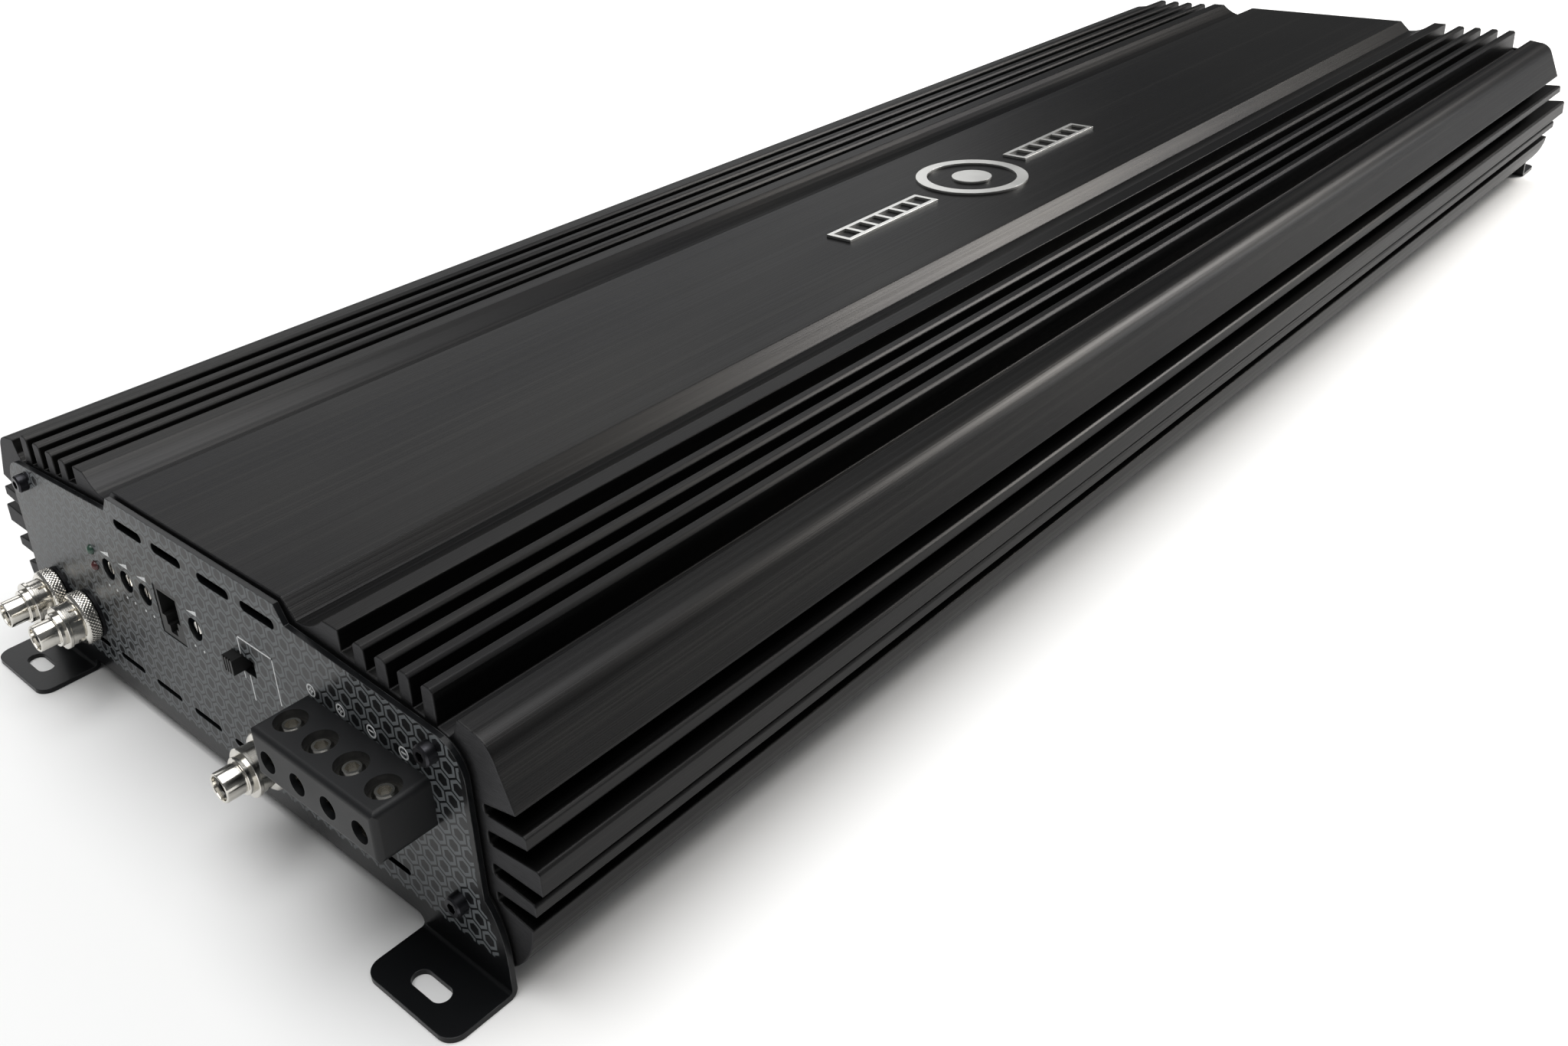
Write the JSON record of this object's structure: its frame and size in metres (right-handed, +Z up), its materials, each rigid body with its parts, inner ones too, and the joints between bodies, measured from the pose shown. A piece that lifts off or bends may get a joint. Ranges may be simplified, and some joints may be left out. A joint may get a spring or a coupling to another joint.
{
  "type": "car amplifier",
  "caption": "Long black finned car audio amplifier with bent end plates on slotted feet, screw terminals, phono jacks, level controls and a slide switch.",
  "frame": {"origin": "middle of the four slotted mounting holes, on the plane the feet rest on", "axes": "+X across the amplifier, +Y along it away from the signal end, +Z up out of the mounting plane"},
  "size_m": [0.2548, 0.7566, 0.077],
  "materials": {
    "anodised_heatsink": "black anodised extrusion with a fine brushed grain along its length",
    "badge_metal": "satin nickel, cast and bonded on",
    "black_sheet": "black powder coat over sheet steel",
    "panel_print": "black coat with a grey printed honeycomb",
    "gasket": "thin black gasket",
    "black_screw": "black oxide",
    "terminal_plastic": "black glass-filled nylon",
    "nickel": "bright nickel plate",
    "jack_insulator": "black moulded insulator",
    "contact_gold": "gold flash",
    "jack_plastic": "black moulded housing",
    "pot_plastic": "moulded control body",
    "green_lens": "green tinted light guide",
    "red_lens": "red tinted light guide",
    "circuit_board": "green solder mask on glass epoxy",
    "zinc": "zinc plate",
    "capacitor_blue": "printed shrink sleeve",
    "capacitor_black": "shrink sleeve",
    "ferrite": "powder-coated ferrite ring",
    "copper_wire": "enamelled copper",
    "epoxy_case": "moulded epoxy package",
    "thermal_pad": "ceramic-filled pad",
    "steel_bar": "pressed steel bar",
    "copper_bar": "bare copper bar"
  },
  "bodies": {
    "chassis": {"heatsink": "anodised_heatsink", "badge": "badge_metal", "bottom_cover": "black_sheet", "bottom_cover_screws": "black_screw", "input_end_plate": "panel_print", "input_end_gasket": "gasket", "input_end_screws": "black_screw", "power_end_plate": "black_sheet", "power_end_gasket": "gasket", "power_end_screws": "black_screw", "speaker_block": "terminal_plastic", "speaker_barrels": "nickel", "power_block": "terminal_plastic", "power_barrels": "nickel", "turn_on_block": "terminal_plastic", "turn_on_barrel": "nickel", "rca_bodies": "jack_plastic", "rca_washers": "jack_insulator", "rca_rings": "nickel", "rca_shells": "nickel", "rca_insulators": "jack_insulator", "rca_contacts": "contact_gold", "remote_jack": "jack_plastic", "remote_jack_contacts": "contact_gold", "pot_bodies": "pot_plastic", "slide_switch_body": "jack_plastic", "power_led": "green_lens", "protect_led": "red_lens", "main_board": "circuit_board", "control_board": "circuit_board", "board_header": "jack_plastic", "board_standoffs": "zinc", "board_screws": "zinc", "supply_capacitors": "capacitor_blue", "rail_capacitors": "capacitor_black", "transformer_cores": "ferrite", "transformer_windings": "copper_wire", "filter_coils": "copper_wire", "supply_transistors": "epoxy_case", "output_transistors": "epoxy_case", "thermal_pads": "thermal_pad", "clamp_bars": "steel_bar", "clamp_screws": "zinc", "bus_bars": "copper_bar"},
    "speaker_screw_1": {"speaker_screw_1": "nickel"},
    "speaker_screw_2": {"speaker_screw_2": "nickel"},
    "speaker_screw_3": {"speaker_screw_3": "nickel"},
    "speaker_screw_4": {"speaker_screw_4": "nickel"},
    "power_screw_1": {"power_screw_1": "nickel"},
    "power_screw_2": {"power_screw_2": "nickel"},
    "power_screw_3": {"power_screw_3": "nickel"},
    "power_screw_4": {"power_screw_4": "nickel"},
    "turn_on_screw": {"turn_on_screw": "nickel"},
    "gain_shaft": {"gain_shaft": "nickel"},
    "subsonic_shaft": {"subsonic_shaft": "nickel"},
    "bass_boost_shaft": {"bass_boost_shaft": "nickel"},
    "lowpass_shaft": {"lowpass_shaft": "nickel"},
    "slide_switch_knob": {"slide_switch_knob": "jack_plastic"}
  },
  "joints": [
    {"name": "speaker_clamp_1", "type": "slide", "parent": "chassis", "child": "speaker_screw_1", "axis": [0, 0, -1], "range_m": [0, 0.0028]},
    {"name": "speaker_clamp_2", "type": "slide", "parent": "chassis", "child": "speaker_screw_2", "axis": [0, 0, -1], "range_m": [0, 0.0028]},
    {"name": "speaker_clamp_3", "type": "slide", "parent": "chassis", "child": "speaker_screw_3", "axis": [0, 0, -1], "range_m": [0, 0.0028]},
    {"name": "speaker_clamp_4", "type": "slide", "parent": "chassis", "child": "speaker_screw_4", "axis": [0, 0, -1], "range_m": [0, 0.0028]},
    {"name": "power_clamp_1", "type": "slide", "parent": "chassis", "child": "power_screw_1", "axis": [0, 0, -1], "range_m": [0, 0.0055]},
    {"name": "power_clamp_2", "type": "slide", "parent": "chassis", "child": "power_screw_2", "axis": [0, 0, -1], "range_m": [0, 0.0055]},
    {"name": "power_clamp_3", "type": "slide", "parent": "chassis", "child": "power_screw_3", "axis": [0, 0, -1], "range_m": [0, 0.0055]},
    {"name": "power_clamp_4", "type": "slide", "parent": "chassis", "child": "power_screw_4", "axis": [0, 0, -1], "range_m": [0, 0.0055]},
    {"name": "turn_on_clamp", "type": "slide", "parent": "chassis", "child": "turn_on_screw", "axis": [0, 0, -1], "range_m": [0, 0.0016]},
    {"name": "gain_turn", "type": "hinge", "parent": "chassis", "child": "gain_shaft", "pos_m": [-0.052, -0.35, 0.0485], "axis": [0, 1, 0], "range_deg": [-140, 140]},
    {"name": "subsonic_turn", "type": "hinge", "parent": "chassis", "child": "subsonic_shaft", "pos_m": [-0.0415, -0.35, 0.0485], "axis": [0, 1, 0], "range_deg": [-140, 140]},
    {"name": "bass_boost_turn", "type": "hinge", "parent": "chassis", "child": "bass_boost_shaft", "pos_m": [-0.031, -0.35, 0.0485], "axis": [0, 1, 0], "range_deg": [-140, 140]},
    {"name": "lowpass_turn", "type": "hinge", "parent": "chassis", "child": "lowpass_shaft", "pos_m": [-0.0045, -0.35, 0.0485], "axis": [0, 1, 0], "range_deg": [-140, 140]},
    {"name": "slide_switch", "type": "slide", "parent": "chassis", "child": "slide_switch_knob", "axis": [1, 0, 0], "range_m": [0, 0.005]}
  ]
}
